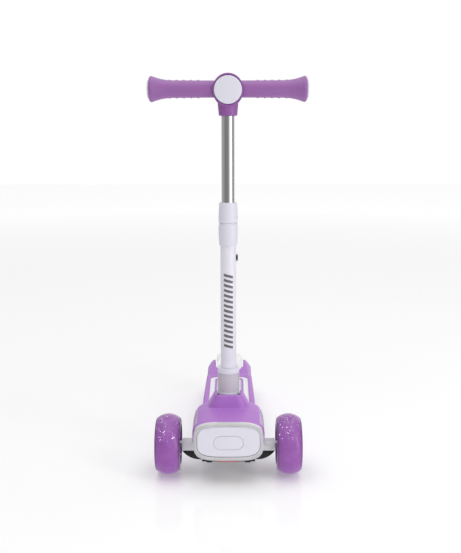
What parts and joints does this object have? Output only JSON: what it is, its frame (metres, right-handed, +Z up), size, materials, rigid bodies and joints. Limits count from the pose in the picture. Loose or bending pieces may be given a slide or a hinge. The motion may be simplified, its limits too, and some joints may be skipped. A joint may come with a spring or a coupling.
{
  "type": "kick scooter",
  "caption": "Lean-to-steer kick scooter for a young child, with two wide front wheels, a light-up nose, a folding stem and a height-adjustable T-bar.",
  "frame": {"origin": "on the floor under the middle of the scooter's width, length and height box", "axes": "+Z up, -Y the way the scooter rides, +X across the handlebar"},
  "size_m": [0.296, 0.55, 0.7503],
  "materials": {
    "purple_plastic": "satin moulded plastic",
    "white_plastic": "satin moulded plastic",
    "grey_plastic": "fine matt moulded plastic",
    "lilac_pad": "soft matt foot pad",
    "black_plastic": "satin glass-filled nylon",
    "black_paint": "black powder coat on steel",
    "white_paint": "smooth white powder coat on steel tube",
    "chrome_plate": "bright chrome on steel tube",
    "zinc_steel": "zinc-plated steel",
    "clear_lens": "clear moulded light guide",
    "circuit_green": "circuit board lacquer",
    "red_lens": "tinted moulded lens",
    "grey_urethane": "cast urethane bushes",
    "purple_urethane": "translucent cast urethane with fine glitter",
    "purple_hub": "moulded nylon",
    "purple_grip": "soft moulded grip"
  },
  "bodies": {
    "deck": {"deck_body": "purple_plastic", "under_tray": "black_plastic", "tray_screws": "zinc_steel", "deck_trim": "white_plastic", "deck_pad": "lilac_pad", "nose_cowl": "purple_plastic", "chassis_bracket": "black_paint", "bracket_bolts": "zinc_steel", "lamp_housing": "black_plastic", "light_ring": "clear_lens", "led_board": "circuit_green", "face_plate": "white_plastic", "badge": "white_plastic", "battery_box": "black_plastic", "belly_pan": "black_plastic", "belly_lens": "red_lens", "nose_feet": "black_plastic", "kingpin": "zinc_steel", "kingpin_nut": "zinc_steel", "steer_bushes": "grey_urethane", "fold_pin": "zinc_steel", "fold_washers": "zinc_steel", "rear_axle": "zinc_steel", "rear_axle_nut": "zinc_steel", "rear_spacers": "zinc_steel", "brake_pin": "zinc_steel", "brake_spring": "zinc_steel"},
    "truck": {"axle_beam": "black_plastic", "axle_cover": "white_plastic", "front_axles": "zinc_steel", "front_axle_nuts": "zinc_steel", "front_spacers": "zinc_steel"},
    "left_wheel": {"left_tyre": "purple_urethane", "left_hub": "purple_hub", "left_bearings": "zinc_steel"},
    "right_wheel": {"right_tyre": "purple_urethane", "right_hub": "purple_hub", "right_bearings": "zinc_steel"},
    "rear_wheel": {"rear_tyre": "purple_urethane", "rear_hub": "purple_hub", "rear_bearings": "zinc_steel"},
    "brake": {"brake_fender": "white_plastic", "brake_shoe": "grey_plastic"},
    "stem": {"fold_knuckle": "white_plastic", "button_springs": "zinc_steel", "outer_tube": "white_paint", "clamp_base": "white_plastic", "clamp_collet": "grey_plastic", "height_seat": "black_plastic"},
    "fold_button": {"fold_button": "grey_plastic"},
    "clamp_nut": {"clamp_nut": "white_plastic"},
    "height_button": {"height_button": "black_plastic"},
    "bar": {"inner_tube": "chrome_plate", "tube_bush": "grey_plastic", "bar_head": "purple_plastic", "head_disc": "white_plastic", "bar_tube": "zinc_steel", "left_grip": "purple_grip", "right_grip": "purple_grip", "bar_caps": "white_plastic"}
  },
  "joints": [
    {"name": "lean_steer", "type": "hinge", "parent": "deck", "child": "truck", "pos_m": [0, -0.21201, 0.058], "axis": [0, -0.4226, 0.9063], "range_deg": [-10, 10], "stiffness_Nm_per_rad": 25},
    {"name": "left_wheel_spin", "type": "hinge", "parent": "truck", "child": "left_wheel", "pos_m": [-0.1145, -0.21201, 0.058], "axis": [1, 0, 0], "continuous": true},
    {"name": "right_wheel_spin", "type": "hinge", "parent": "truck", "child": "right_wheel", "pos_m": [0.1145, -0.21201, 0.058], "axis": [1, 0, 0], "continuous": true},
    {"name": "rear_wheel_spin", "type": "hinge", "parent": "deck", "child": "rear_wheel", "pos_m": [0, 0.21799, 0.046], "axis": [1, 0, 0], "continuous": true},
    {"name": "brake_press", "type": "hinge", "parent": "deck", "child": "brake", "pos_m": [0, 0.16999, 0.0845], "axis": [-1, 0, 0], "range_deg": [0, 3.2], "stiffness_Nm_per_rad": 1, "springref_deg": -11.46},
    {"name": "stem_fold", "type": "hinge", "parent": "deck", "child": "stem", "pos_m": [0, -0.16601, 0.141], "axis": [-1, 0, 0], "range_deg": [0, 86]},
    {"name": "fold_button_press", "type": "slide", "parent": "stem", "child": "fold_button", "axis": [0, 0.9994, -0.0349], "range_m": [0, 0.0025], "stiffness_N_per_m": 1500, "springref_m": -0.001},
    {"name": "clamp_twist", "type": "hinge", "parent": "stem", "child": "clamp_nut", "pos_m": [0, -0.1538, 0.49079], "axis": [0, 0.0349, 0.9994], "range_deg": [0, 90]},
    {"name": "height_button_press", "type": "slide", "parent": "stem", "child": "height_button", "axis": [-1, 0, 0], "range_m": [0, 0.0012], "stiffness_N_per_m": 800, "springref_m": -0.0005},
    {"name": "height_slide", "type": "slide", "parent": "stem", "child": "bar", "axis": [0, 0.0349, 0.9994], "range_m": [-0.15, 0]}
  ]
}
